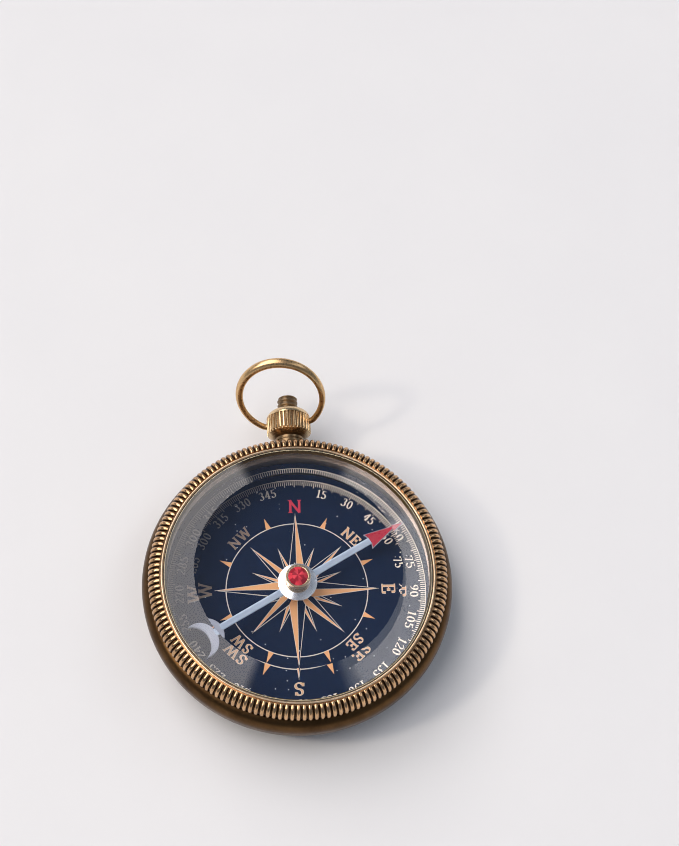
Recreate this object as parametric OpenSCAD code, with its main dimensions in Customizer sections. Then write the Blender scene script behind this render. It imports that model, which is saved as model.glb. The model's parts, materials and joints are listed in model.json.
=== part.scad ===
// Brass pocket compass with a reeded bezel, a bevelled glass, a crown and a bow.
// The origin is the middle of the flat foot, Z is up, and the crown points along +Y.

/* [Dial stack] */
// Diameter of the printed dial face
dial_d = 45.2; // [40:0.1:50]
// Thickness of the printed dial face
face_t = 0.3; // [0.2:0.05:0.6]
// Thickness of the brass plate under the face
plate_t = 0.6; // [0.4:0.05:1.2]
// Thickness of the pad under the plate
cushion_t = 1.95; // [1.6:0.05:3]
// Width of the ledge in the case that the plate rests on
ledge_w = 2.2; // [1.6:0.1:3]
// Angle that the printed dial is turned, clockwise from the crown
dial_turn = 1.5; // [-5:0.1:5]

/* [Case] */
// Thickness of the case floor
floor_t = 1.2; // [0.8:0.1:1.8]
// Radial gap between the dial plate and the case bore
bore_gap = 0.1; // [0.05:0.01:0.2]
// Wall of the collar that carries the bezel
collar_wall = 0.9; // [0.7:0.05:1.4]
// How far the widest part of the case stands out past that collar
bulge_w = 2.5; // [2.3:0.1:3.5]
// Height of the rounded shoulder above the widest part
shoulder_h = 2.3; // [1.8:0.1:2.4]
// Radius of the rounded shoulder
shoulder_r = 2.5; // [2.4:0.1:3.2]

/* [Rehaut] */
// Clear height between the stone on the needle and the glass
stone_gap = 1.05; // [0.8:0.05:2.5]
// Wall of that ring at the dial
rehaut_wall = 1.35; // [1:0.05:1.8]
// Depth of its step
rehaut_step = 0.6; // [0.3:0.05:0.8]
// Height of the stepped part below its top
rehaut_step_h = 2.2; // [1:0.1:4]

/* [Bezel] */
// Wall of the bezel outside the case collar, over the reeds
bezel_wall = 1.4; // [1.2:0.05:2]
// Height of the bezel from the case shoulder to the lip
bezel_h = 3.4; // [2.8:0.1:3.8]
// Height of the lip above the ledge that the glass sits on
lip_h = 1.35; // [1.1:0.05:1.35]
// Width of the smooth lip round the glass
lip_w = 0.45; // [0.3:0.05:0.6]
// Radius of the rounded outside that the reeds follow
reed_arc_r = 2; // [1.6:0.1:2.3]
// Number of reeds round the bezel
reed_count = 155; // [60:1:160]
// Radius of one rounded reed
reed_r = 0.43; // [0.3:0.01:0.48]
// Height of the reeds above the ground between them
reed_h = 0.36; // [0.2:0.01:0.42]

/* [Glass] */
// How much smaller the glass is than the case bore, on the radius
glass_inset = 0.5; // [0.4:0.05:0.8]
// Height of the upright edge of the glass
glass_edge_h = 1.15; // [0.8:0.05:1.2]
// Height of the bevel
bevel_h = 1.7; // [1:0.1:3]
// Width of the bevel
bevel_w = 4.9; // [3:0.1:8]
// Width of the ledge in the bezel that the glass sits on
shelf_w = 0.5; // [0.3:0.05:0.8]
// Thickness of that ledge
shelf_t = 0.45; // [0.3:0.05:0.8]
// Thickness of the gasket under the glass
gasket_t = 0.15; // [0.1:0.01:0.3]
// Width of the gasket beside the glass
gasket_w = 0.2; // [0.1:0.01:0.3]

/* [Rose] */
// Reach of the four main rays
main_ray = 13.9; // [11:0.1:15]
// Reach of the four diagonal rays
diagonal_ray = 10.9; // [9:0.1:12]
// Reach of the eight short rays
short_ray = 8.1; // [6:0.1:9]
// Radius of the circle line
rose_circle_r = 12; // [10:0.1:13]
// Reach of the eight spikes on the circle
spike_ray = 14.1; // [12.5:0.1:14.5]
// Gap between the degree scale and the ring round the dial
scale_gap = 1.15; // [0.4:0.05:3]
// Height of the printed relief
print_t = 0.04; // [0.02:0.01:0.08]

/* [Pivot] */
// Diameter of the post that carries the needle's pin
post_d = 2.4; // [2:0.1:3]
// Height of the post above the dial
post_h = 2.3; // [1.6:0.1:2.6]
// Diameter of the pin
pin_d = 0.6; // [0.4:0.05:0.8]
// Gap between the pin's point and its bearing
point_gap = 0.02; // [0.01:0.01:0.05]

/* [Needle] */
// Height of the needle above the dial
needle_lift = 3.05; // [2.8:0.05:3.4]
// Thickness of the needle
needle_t = 0.35; // [0.2:0.05:0.5]
// Width of the needle's bar
bar_w = 1.15; // [0.8:0.05:1.6]
// Gap between the arrow point and the ring round the dial
tip_gap = 1.25; // [0.5:0.05:4]
// Length of the arrow head
arrow_l = 5.9; // [4:0.1:7]
// Width of the arrow head
arrow_w = 2.9; // [2:0.1:4]
// Radius of the crescent's outside
crescent_r = 3; // [2:0.1:3.4]
// Thickness of the crescent at its middle
crescent_t = 1.55; // [1:0.05:2]
// Reach of the bar on the crescent's side
tail_r = 14.85; // [12:0.05:15.5]
// Direction that the needle points in at rest, clockwise from the crown
needle_turn = 60.8; // [0:0.1:360]

/* [Hub] */
// Diameter of the bright disc on the needle
hub_d = 6.6; // [5:0.1:8]
// Height of the disc's dome
hub_h = 0.7; // [0.5:0.05:1]
// Diameter of the cap that holds the stone
cup_d = 4.2; // [3.9:0.1:5]
// Height of the cap above the disc
cup_h = 2.3; // [2.1:0.05:2.5]
// Wall of the cap round the stone
cup_wall = 0.32; // [0.2:0.02:0.45]
// Height of the stone's dome above the cap
stone_h = 0.6; // [0.3:0.05:0.8]

/* [Pendant] */
// Diameter of the collar between the case and the crown
collar_d = 5; // [4:0.1:5.1]
// Distance from the collar's seat in the case to the crown
collar_l = 2.1; // [1.8:0.1:3]
// Depth of that seat in the case wall
seat_depth = 1.35; // [1.3:0.05:1.6]
// Diameter of the screwed stud
stud_d = 3.5; // [2.6:0.1:3.8]
// How far the stud stands out of the crown
stud_out = 2.6; // [1.6:0.1:3]
// Pitch of the stud's thread
thread_pitch = 0.8; // [0.6:0.05:1]

/* [Crown] */
// Diameter of the knurled barrel
crown_d = 7.6; // [7:0.1:9]
// Length of the barrel
barrel_l = 2.8; // [2.4:0.1:4]
// Length of the cone between the collar and the barrel
cone_l = 0.9; // [0.6:0.1:1.5]
// Radius of the rounded end
dome_r = 1.6; // [0.8:0.05:2]
// Number of flutes in the knurl
flute_count = 36; // [20:1:44]
// Radius of one flute
flute_r = 0.24; // [0.15:0.01:0.28]
// Angle at which the crown came tight on its stud
crown_turn = -14.9; // [-20:0.1:20]

/* [Bow] */
// Diameter of the bow where it is thickest, opposite the crown
wire_d = 1.7; // [1.2:0.05:2]
// Diameter of the bow's ends, which turn in the crown
bow_end_d = 1.05; // [0.8:0.05:1.15]
// Radius of the bow's centre line
bow_r = 7.17; // [6.5:0.01:10]
// Distance from the bow's axis to the barrel's outer end
bow_hole_edge = 0.65; // [0.65:0.05:1.4]
// Gap between the crown's side and the elbows at the bow's ends
bow_gap = 0.3; // [0.25:0.05:0.6]
// Radial running clearance of the bow's ends in the crown
bow_fit = 0.06; // [0.03:0.01:0.1]
// Angle that the bow stands above the level at rest
bow_lift = 60.7; // [-25:0.1:90]

/* [Hidden] */
$fn = 96;
// Overrun of every cut past the face that it opens
over = 0.5;

// Radii that follow from the dial
plate_r = dial_d / 2;
bore_r = plate_r + bore_gap;
case_collar_r = bore_r + collar_wall;
case_r = case_collar_r + bulge_w;
bezel_r = case_collar_r + bezel_wall;
glass_r = bore_r - glass_inset;
pocket_r = glass_r + gasket_w;
shelf_r = glass_r - shelf_w;
cushion_r = bore_r - ledge_w;
rehaut_r = plate_r;
rehaut_inner_r = rehaut_r - rehaut_wall;
tip_r = rehaut_inner_r - tip_gap;
scale_r = rehaut_inner_r - scale_gap;

// Heights of the stack, from the foot up
cushion_z = floor_t;
plate_z = cushion_z + cushion_t;
face_z = plate_z + plate_t;
dial_z = face_z + face_t;
needle_z = dial_z + needle_lift;
hub_z = needle_z + needle_t;
cup_z = hub_z + hub_h;
cup_top = cup_z + cup_h;
glass_z = cup_top + stone_h + stone_gap;
gasket_z = glass_z - gasket_t;
shelf_z = gasket_z - shelf_t;
lip_z = gasket_z + lip_h;
case_h = lip_z - bezel_h;
bulge_z = case_h - shoulder_h;

// Pivot, from the dial up
post_flange_t = 0.4;
post_flange_d = 4.4;
shank_d = 1.8;
nut_af = 3.4;
nut_t = 1.1;
nut_room = 0.9;
pin_seat = 1.2;
hub_edge_t = 0.25;
tube_d = 3.2;
tube_below = 0.3;
tube_bore_d = 2.6;
stone_seat = 0.65;
cup_web = 0.3;
jewel_t = 1.2;
jewel_hollow = 0.8;
jewel_mouth_d = 1.6;
jewel_top = cup_top - stone_seat - cup_web;
point_z = jewel_top - jewel_t + jewel_hollow - point_gap;
point_l = 0.8;
point_tip_d = 0.08;

// Pendant, from the case wall out
pendant_drop = 0.3;
pendant_z = bulge_z - pendant_drop;
seat_y = case_r - seat_depth;
crown_y = seat_y + collar_l;
barrel_y = crown_y + cone_l;
dome_y = barrel_y + barrel_l;
crown_end = dome_y + dome_r;
bow_y = dome_y - bow_hole_edge;
bead_l = 0.5;
bead_r = 0.12;
collar_bore_gap = 0.05;
cone_d = 4.7;
stud_inset = 0.05;
thread_depth = 0.3;
stud_chamfer = 0.25;

// Bow
wire_r = wire_d / 2;
bow_end_r = bow_end_d / 2;
bow_end_x = crown_d / 2 + bow_gap;
bow_open = asin(bow_end_x / bow_r);
bow_reach = bow_r * cos(bow_open);
elbow_swell = 0.03;
bow_end_l = 1.7;
hole_floor_gap = 0.1;
// The taper, as angles from the bow's thickest place, and its number of small steps
taper_from = 105;
taper_to = 15;
taper_steps = 16;

// Printed relief
main_half_w = 1.45;
diagonal_half_w = 1.15;
short_half_w = 0.75;
spike_w = 0.95;
rose_line_w = 0.16;
outline_w = 0.13;
tick_w = 0.13;
tick_l = 1.3;
// Depth of the notch behind the arrow head, as a share of how far its barbs stand out
barb_share = 0.2;
// Where a ray is widest, as a share of its reach
ray_waist_share = 0.2;

// Solid of revolution round the origin from z0 to z1
module drum(r, z0, z1) {
    translate([0, 0, z0]) cylinder(r = r, h = z1 - z0);
}

// Solid of revolution along +Y from y0 to y1, at the height of the pendant
module rod(r, y0, y1) {
    translate([0, y0, pendant_z]) rotate([-90, 0, 0]) cylinder(r = r, h = y1 - y0);
}

// Outline of the case in the half plane: a quarter round bowl under a rounded shoulder
module case_outline() {
    intersection() {
        translate([case_r - bulge_z, bulge_z]) circle(r = bulge_z);
        square([case_r, bulge_z]);
    }
    square([case_r - bulge_z, case_h]);
    translate([0, bulge_z]) intersection() {
        union() {
            translate([case_r - shoulder_r, 0]) circle(r = shoulder_r);
            square([case_r - shoulder_r, shoulder_h]);
        }
        square([case_r, shoulder_h]);
    }
    translate([0, bulge_z]) square([case_collar_r, shelf_z - bulge_z]);
}

module case_body() {
    color("darkgoldenrod") difference() {
        rotate_extrude() case_outline();
        drum(cushion_r, floor_t, plate_z + over);
        drum(bore_r, plate_z, shelf_z + over);
        rod(collar_d / 2 + collar_bore_gap, seat_y, case_r + over);
        rod(stud_d / 2, 0, case_r + over);
    }
}

module dial_cushion() {
    color("saddlebrown") difference() {
        drum(cushion_r, cushion_z, plate_z);
        drum(nut_af / 2 + nut_room, cushion_z - over, plate_z + over);
    }
}

module dial_plate() {
    color("goldenrod") difference() {
        drum(plate_r, plate_z, face_z);
        drum(shank_d / 2, plate_z - over, face_z + over);
    }
}

// One half of a ray, from the middle to its point; side is 1 or -1
module half_ray(reach, half_w, side) {
    waist = reach * ray_waist_share;
    polygon([[0, 0], [side * half_w, waist], [0, reach]]);
}

// What a ray hides behind it: its outline, half a line smaller, so that what it cuts still joins it
module ray_shadow(reach, half_w) {
    waist = reach * ray_waist_share;
    hidden_w = half_w - outline_w / 2;
    polygon([[0, 0], [hidden_w, waist], [0, reach - outline_w], [-hidden_w, waist]]);
}

// A ray with its clockwise half filled and its other half drawn as an outline
module ray(reach, half_w) {
    waist = reach * ray_waist_share;
    half_ray(reach, half_w, 1);
    difference() {
        half_ray(reach, half_w, -1);
        polygon([[0, outline_w * reach / waist], [-half_w + outline_w, waist],
                 [0, reach - outline_w * reach / half_w]]);
    }
}

// Ring line of a given width, centred on its radius
module line_ring(r, w) {
    difference() {
        circle(r = r + w / 2);
        circle(r = r - w / 2);
    }
}

module rose_print() {
    for (i = [0 : 3]) rotate(i * 90) ray(main_ray, main_half_w);
    for (i = [0 : 3]) rotate(45 + i * 90) difference() {
        ray(diagonal_ray, diagonal_half_w);
        for (s = [-1, 1]) rotate(s * 45) ray_shadow(main_ray, main_half_w);
    }
    // The main ray is on one side of a short ray and the diagonal on the other, by turns
    for (i = [0 : 3], s = [-1, 1]) rotate(i * 90 + s * 22.5) difference() {
        ray(short_ray, short_half_w);
        rotate(-s * 22.5) ray_shadow(main_ray, main_half_w);
        rotate(s * 22.5) ray_shadow(diagonal_ray, diagonal_half_w);
    }
    line_ring(rose_circle_r, rose_line_w);
    for (i = [0 : 7]) rotate(22.5 + i * 45)
        polygon([[-spike_w / 2, rose_circle_r], [spike_w / 2, rose_circle_r], [0, spike_ray]]);
    line_ring(scale_r, tick_w);
    for (i = [0 : 71]) rotate(i * 5) translate([-tick_w / 2, scale_r - tick_l]) square([tick_w, tick_l]);
}

module dial_face() {
    color("midnightblue") difference() {
        union() {
            drum(plate_r, face_z, dial_z);
            translate([0, 0, dial_z]) linear_extrude(print_t) rotate(-dial_turn) rose_print();
        }
        drum(post_flange_d / 2, dial_z, dial_z + over);
        drum(shank_d / 2, face_z - over, dial_z + over);
    }
}

module rehaut() {
    color("gold") difference() {
        drum(rehaut_r, dial_z, shelf_z);
        drum(rehaut_inner_r, dial_z - over, shelf_z + over);
        drum(rehaut_inner_r + rehaut_step, shelf_z - rehaut_step_h, shelf_z + over);
    }
}

// One reed: a round bar bent along the bezel's rounded outside
module reed() {
    top_angle = 88;
    foot_angle = -asin((bezel_h - reed_arc_r - reed_h) / reed_arc_r);
    translate([bezel_r - reed_arc_r, 0, lip_z - reed_arc_r]) rotate([90, 0, 0]) rotate([0, 0, foot_angle])
        rotate_extrude(angle = top_angle - foot_angle)
            translate([reed_arc_r - reed_r, 0]) circle(r = reed_r, $fn = 24);
}

// Outline of the bezel under its reeds, in the half plane
module bezel_outline() {
    difference() {
        union() {
            intersection() {
                translate([bezel_r - reed_arc_r, lip_z - reed_arc_r]) circle(r = reed_arc_r - reed_h);
                translate([0, case_h]) square([bezel_r, bezel_h]);
            }
            translate([0, case_h]) square([bezel_r - reed_arc_r, bezel_h - reed_h]);
            translate([0, case_h]) square([pocket_r + lip_w, bezel_h]);
        }
        square([case_collar_r, shelf_z]);
        square([shelf_r, lip_z + over]);
        translate([0, gasket_z]) square([pocket_r, lip_h + over]);
    }
}

module bezel() {
    color("peru") union() {
        rotate_extrude() bezel_outline();
        for (i = [0 : reed_count - 1]) rotate([0, 0, i * 360 / reed_count]) reed();
    }
}

module crystal_gasket() {
    color("dimgray") difference() {
        drum(pocket_r, gasket_z, glass_z + glass_edge_h);
        drum(shelf_r, gasket_z - over, glass_z + over);
        drum(glass_r, glass_z, glass_z + glass_edge_h + over);
    }
}

module crystal() {
    color("lightcyan") union() {
        drum(glass_r, glass_z, glass_z + glass_edge_h);
        translate([0, 0, glass_z + glass_edge_h])
            cylinder(r1 = glass_r, r2 = glass_r - bevel_w, h = bevel_h);
    }
}

module pivot_post() {
    top_z = dial_z + post_h;
    color("goldenrod") difference() {
        union() {
            drum(shank_d / 2, plate_z - nut_t, dial_z);
            drum(post_flange_d / 2, dial_z, dial_z + post_flange_t);
            drum(post_d / 2, dial_z, top_z - pin_d);
            translate([0, 0, top_z - pin_d]) cylinder(d1 = post_d, d2 = post_d - pin_d, h = pin_d);
        }
        drum(pin_d / 2, top_z - pin_seat, top_z + over);
    }
}

module pivot_nut() {
    color("gold") difference() {
        translate([0, 0, plate_z - nut_t]) cylinder(r = nut_af / sqrt(3), h = nut_t, $fn = 6);
        drum(shank_d / 2, plate_z - nut_t - over, plate_z + over);
    }
}

module pivot_pin() {
    foot_z = dial_z + post_h - pin_seat;
    color("silver") union() {
        drum(pin_d / 2, foot_z, point_z - point_l);
        translate([0, 0, point_z - point_l]) cylinder(d1 = pin_d, d2 = point_tip_d, h = point_l);
    }
}

// Flat outline of the needle, pointing along +Y
module needle_outline() {
    bar_from = -tail_r - crescent_t / 2;
    arrow_from = tip_r - arrow_l;
    notch_y = arrow_from + (arrow_w - bar_w) * barb_share;
    half = [[bar_w / 2, bar_from], [bar_w / 2, notch_y], [arrow_w / 2, arrow_from]];
    polygon([each half, [0, tip_r], for (i = [2 : -1 : 0]) [-half[i].x, half[i].y]]);
    translate([0, -tail_r - crescent_r]) difference() {
        circle(r = crescent_r);
        translate([0, -crescent_t]) circle(r = crescent_r);
    }
    circle(d = tube_d + bar_w);
}

module needle() {
    color("lightsteelblue") translate([0, 0, needle_z]) rotate([0, 0, -needle_turn]) difference() {
        linear_extrude(needle_t) needle_outline();
        drum(tube_d / 2, -over, needle_t + over);
    }
}

// Domed disc: a slice of a large ball on a thin upright edge
module needle_hub() {
    dome_h = hub_h - hub_edge_t;
    ball_r = (hub_d * hub_d / 4 + dome_h * dome_h) / (2 * dome_h);
    color("white") difference() {
        translate([0, 0, hub_z]) rotate_extrude() intersection() {
            translate([0, hub_h - ball_r]) circle(r = ball_r, $fn = 240);
            square([hub_d / 2, hub_h]);
        }
        drum(tube_d / 2, hub_z - over, cup_z + over);
        drum(cup_d / 2, cup_z - dome_h, cup_z + over);
    }
}

module jewel_cup() {
    dome_h = hub_h - hub_edge_t;
    color("gold") difference() {
        union() {
            drum(tube_d / 2, needle_z - tube_below, cup_z);
            drum(cup_d / 2, cup_z - dome_h, cup_top);
        }
        drum(tube_bore_d / 2, needle_z - tube_below - over, jewel_top);
        drum(cup_d / 2 - cup_wall, cup_top - stone_seat, cup_top + over);
    }
}

module pivot_jewel() {
    jewel_z = jewel_top - jewel_t;
    color("pink") difference() {
        drum(tube_bore_d / 2, jewel_z, jewel_top);
        translate([0, 0, jewel_z]) cylinder(d1 = jewel_mouth_d, d2 = point_tip_d, h = jewel_hollow);
    }
}

module cap_stone() {
    stone_r = cup_d / 2 - cup_wall;
    ball_r = (stone_r * stone_r + stone_h * stone_h) / (2 * stone_h);
    color("crimson") rotate_extrude() union() {
        translate([0, cup_top - stone_seat]) square([stone_r, stone_seat]);
        intersection() {
            translate([0, cup_top + stone_h - ball_r]) circle(r = ball_r, $fn = 240);
            translate([0, cup_top - stone_seat]) square([stone_r, stone_seat + stone_h]);
        }
    }
}

module pendant_collar() {
    color("goldenrod") difference() {
        union() {
            rod(collar_d / 2, seat_y, crown_y);
            translate([0, crown_y - bead_l, pendant_z]) rotate([-90, 0, 0]) rotate_extrude()
                translate([collar_d / 2, 0]) circle(r = bead_r, $fn = 24);
        }
        rod(stud_d / 2, seat_y - over, crown_y + over);
    }
}

module pendant_stud() {
    inner_y = bore_r + stud_inset;
    outer_y = crown_end + stud_out;
    color("gray") difference() {
        union() {
            rod(stud_d / 2, inner_y, outer_y - stud_chamfer);
            translate([0, outer_y - stud_chamfer, pendant_z]) rotate([-90, 0, 0])
                cylinder(d1 = stud_d, d2 = stud_d - 2 * stud_chamfer, h = stud_chamfer);
        }
        for (y = [crown_end + thread_pitch / 2 : thread_pitch : outer_y - thread_pitch / 2])
            translate([0, y, pendant_z]) rotate([-90, 0, 0]) rotate_extrude()
                polygon([[stud_d / 2 - thread_depth, 0], [stud_d / 2 + thread_depth, -thread_depth],
                         [stud_d / 2 + thread_depth, thread_depth]]);
    }
}

// Outline of the crown in the half plane: cone, barrel, rounded end
module crown_outline() {
    crown_r = crown_d / 2;
    barrel_end = cone_l + barrel_l;
    polygon([[0, 0], [cone_d / 2, 0], [crown_r - flute_r, cone_l], [crown_r, cone_l + flute_r],
             [crown_r, barrel_end], [0, barrel_end]]);
    translate([0, barrel_end]) intersection() {
        union() {
            translate([crown_r - dome_r, 0]) circle(r = dome_r);
            square([crown_r - dome_r, dome_r]);
        }
        square([crown_r, dome_r]);
    }
}

module crown() {
    crown_r = crown_d / 2;
    hole_x = bow_end_x - bow_end_l - hole_floor_gap;
    flute_z = cone_l / 2;
    flute_l = barrel_l + cone_l / 2 + dome_r / 6;
    color("goldenrod") translate([0, crown_y, pendant_z]) rotate([0, crown_turn, 0]) difference() {
        rotate([-90, 0, 0]) rotate_extrude() crown_outline();
        rotate([-90, 0, 0]) for (i = [0 : flute_count - 1]) rotate([0, 0, (i + 0.5) * 360 / flute_count])
            translate([crown_r, 0, flute_z]) cylinder(r = flute_r, h = flute_l, $fn = 24);
        rotate([-90, 0, 0]) translate([0, 0, -over])
            cylinder(d = stud_d, h = crown_end - crown_y + 2 * over);
        for (x = [hole_x, -hole_x - crown_r]) translate([x, bow_y - crown_y, 0]) rotate([0, 90, 0])
            cylinder(r = bow_end_r + bow_fit, h = crown_r);
    }
}

// Arc of the bow, as far to each side of its thickest place as the angle says
module bow_arc(half_angle, r) {
    rotate([0, 0, 90 - half_angle]) rotate_extrude(angle = 2 * half_angle)
        translate([bow_r, 0]) circle(r = r);
}

// The ring lies in its own XY plane, with its ends on the X axis through the crown.
// Thicker and shorter arcs lie over the thinnest one, which makes the taper.
module bow() {
    color("goldenrod")
    translate([0, bow_y, pendant_z]) rotate([0, crown_turn, 0]) rotate([bow_lift, 0, 0]) {
        translate([0, bow_reach, 0]) {
            bow_arc(180 - bow_open, bow_end_r);
            for (i = [1 : taper_steps]) {
                share = i / taper_steps;
                thickened = (wire_r - bow_end_r) * share;
                bow_arc(taper_from + (taper_to - taper_from) * share, bow_end_r + thickened);
            }
        }
        for (x = [-bow_end_x, bow_end_x]) translate([x, 0, 0]) sphere(r = bow_end_r + elbow_swell);
        for (x = [-bow_end_x, bow_end_x - bow_end_l]) translate([x, 0, 0]) rotate([0, 90, 0])
            cylinder(r = bow_end_r, h = bow_end_l);
    }
}

case_body();
dial_cushion();
dial_plate();
dial_face();
rehaut();
bezel();
crystal_gasket();
crystal();
pivot_post();
pivot_nut();
pivot_pin();
needle();
needle_hub();
jewel_cup();
pivot_jewel();
cap_stone();
pendant_collar();
pendant_stud();
crown();
bow();
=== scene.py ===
# %% [markdown]
# A brass pocket compass: a bowl-shaped case, a reeded bezel, a thick bevelled glass over a dark blue dial,
# a silvered needle with a red head, and a knurled crown that carries a round bow. The metalwork arrives as
# finished solids at its real size. This lesson dresses them: it prints the dial, cuts a fine needle and a
# real thread, and gives each surface its metal, enamel, glass or stone. Everything is in metres, in one
# frame: Z is up, and the crown points along +Y. Outlines are drawn in millimetres and become metres when a
# piece is made.

# %% Load the solids
import json
import math
import bpy
from mathutils import Matrix, Vector


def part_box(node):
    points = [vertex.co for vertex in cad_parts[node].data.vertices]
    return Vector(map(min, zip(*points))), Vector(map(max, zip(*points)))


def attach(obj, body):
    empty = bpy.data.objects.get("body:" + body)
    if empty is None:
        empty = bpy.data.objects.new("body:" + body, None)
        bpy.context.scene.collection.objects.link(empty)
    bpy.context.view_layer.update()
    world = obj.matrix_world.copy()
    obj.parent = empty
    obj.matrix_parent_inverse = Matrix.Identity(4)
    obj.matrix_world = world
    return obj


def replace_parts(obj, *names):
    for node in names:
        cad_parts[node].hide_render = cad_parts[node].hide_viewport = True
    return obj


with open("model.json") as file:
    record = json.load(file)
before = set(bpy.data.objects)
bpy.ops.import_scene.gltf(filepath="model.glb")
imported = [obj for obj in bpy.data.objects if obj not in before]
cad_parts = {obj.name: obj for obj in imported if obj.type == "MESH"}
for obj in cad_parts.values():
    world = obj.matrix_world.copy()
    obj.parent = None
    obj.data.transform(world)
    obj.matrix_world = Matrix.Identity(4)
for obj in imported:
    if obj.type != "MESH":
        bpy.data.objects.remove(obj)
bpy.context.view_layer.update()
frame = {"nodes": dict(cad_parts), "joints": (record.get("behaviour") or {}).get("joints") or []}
nodes = frame["nodes"]
mm = 0.001

# %% [markdown]
# The camera stands where the photographer stood: high in front, turned a little, with the head tilted.
# A long lens keeps the round dial nearly free of perspective. The lens is worked out from the distance to
# the dial, and the tilt turns the camera about its own line of sight.

# %% Camera
view_azimuth = math.radians(-9.055)
view_elevation = math.radians(64.87)
view_roll = math.radians(6.2)
view_place = Vector((-17.39, -135.18, 363.35)) * mm
lens_mm, sensor_mm = 96.1, 36.0


def photographer():
    back = Vector((math.sin(view_azimuth) * math.cos(view_elevation),
                   -math.cos(view_azimuth) * math.cos(view_elevation), math.sin(view_elevation)))
    right = Vector((math.cos(view_azimuth), math.sin(view_azimuth), 0))
    up = back.cross(right)
    tilted_right = math.cos(view_roll) * right + math.sin(view_roll) * up
    tilted_up = back.cross(tilted_right)
    data = bpy.data.cameras.new("photographer")
    data.sensor_width, data.lens = sensor_mm, lens_mm
    data.clip_start, data.clip_end = 0.01, 20
    camera = bpy.data.objects.new("photographer", data)
    turn = Matrix((tilted_right, tilted_up, back)).transposed().to_4x4()
    camera.matrix_world = Matrix.Translation(view_place) @ turn
    bpy.context.scene.collection.objects.link(camera)
    bpy.context.scene.camera = camera
    return camera


print("camera at", [round(c / mm) for c in photographer().matrix_world.translation])

# %% [markdown]
# Node materials are wired with one small helper. It makes a node, sets its properties, and either links an
# input to another node's socket or writes a plain value into it. Every finish below is built with it.


# %% Node helper
def node(tree, kind, inputs=None, **props):
    made = tree.nodes.new("ShaderNode" + kind)
    for key, value in props.items():
        setattr(made, key, value)
    for key, value in (inputs or {}).items():
        if isinstance(value, bpy.types.NodeSocket):
            tree.links.new(value, made.inputs[key])
        else:
            made.inputs[key].default_value = value
    return made


def math_node(tree, operation, a, b=0.0):
    return node(tree, "Math", {0: a, 1: b}, operation=operation).outputs[0]


def ramp(tree, value, low, high, out_low=0.0, out_high=1.0):
    inputs = {"Value": value, "From Min": low, "From Max": high, "To Min": out_low, "To Max": out_high}
    return node(tree, "MapRange", inputs).outputs[0]


def blend_colour(tree, factor, a, b):
    made = node(tree, "Mix", {0: factor}, data_type="RGBA")
    for key, value in ((6, a), (7, b)):
        if isinstance(value, bpy.types.NodeSocket):
            tree.links.new(value, made.inputs[key])
        else:
            made.inputs[key].default_value = (*value, 1)
    return made.outputs[2]


def new_finish(name):
    material = bpy.data.materials.new(name)
    material.use_nodes = True
    tree = material.node_tree
    tree.nodes.clear()
    surface = node(tree, "BsdfPrincipled")
    node(tree, "OutputMaterial", {"Surface": surface.outputs[0]})
    place = node(tree, "TexCoord").outputs["Object"]
    return material, tree, surface, place


def noise(tree, place, scale, detail=4.0, rough=0.5):
    inputs = {"Vector": place, "Scale": scale, "Detail": detail, "Roughness": rough}
    return node(tree, "TexNoise", inputs).outputs["Fac"]


def set_inputs(tree, surface, **inputs):
    for key, value in inputs.items():
        socket = surface.inputs[key.replace("_", " ")]
        if isinstance(value, bpy.types.NodeSocket):
            tree.links.new(value, socket)
        else:
            socket.default_value = value


print("helpers ready")

# %% [markdown]
# The compass lies on a pale plain sheet, which keeps its shadow. One small warm lamp at the left is the
# sun. A sun lamp would do as well, but a square of light near by gives the shadow a soft edge by itself.

# %% Floor and sun
floor_half = 2.0
sun_toward, sun_distance, sun_size = Vector((-0.72, -0.08, 0.69)), 0.9, 0.10
sun_radiance, sun_colour = 48, (1.0, 0.89, 0.74)


def pale_floor():
    mesh = bpy.data.meshes.new("pale_floor")
    corners = [(-floor_half, -floor_half, 0), (floor_half, -floor_half, 0),
               (floor_half, floor_half, 0), (-floor_half, floor_half, 0)]
    mesh.from_pydata(corners, [], [(0, 1, 2, 3)])
    material, tree, surface, place = new_finish("pale_paper")
    speckle = noise(tree, place, 40.0)
    set_inputs(tree, surface, Base_Color=blend_colour(tree, speckle, (0.84, 0.84, 0.85), (0.88, 0.88, 0.88)),
               Roughness=0.9, Specular_IOR_Level=0.1)
    mesh.materials.append(material)
    plane = bpy.data.objects.new("pale_floor", mesh)
    bpy.context.scene.collection.objects.link(plane)


def warm_sun():
    """A small square lamp that faces the dial."""
    data = bpy.data.lights.new("warm_sun", "AREA")
    data.size = sun_size
    data.energy, data.color = sun_radiance * math.pi * sun_size ** 2, sun_colour
    lamp = bpy.data.objects.new("warm_sun", data)
    back = sun_toward.normalized()
    turn = back.to_track_quat("Z", "Y").to_matrix().to_4x4()
    lamp.matrix_world = Matrix.Translation(back * sun_distance) @ turn
    lamp.visible_camera = False
    bpy.context.scene.collection.objects.link(lamp)
    return lamp


pale_floor()
print("sun at", [round(c, 2) for c in warm_sun().matrix_world.translation])

# %% [markdown]
# Metal and glass show the room around them. The bevel of the glass is a cone, so each place round the rim
# mirrors another part of the room, and all of them together mirror an arc. Two bright windows that follow
# that arc turn the bevel milky and leave the flat of the glass clear: a warm one on the left, and a
# fainter, bluer one on the right. They could be lamps or glowing sheets, but those stand in each other's
# light, so they are drawn on the sky. A mirror's normal lies halfway between the two directions that it
# joins. So each window is given by the slopes, and the ways they face, that mirror it towards the
# photographer's place.

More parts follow.
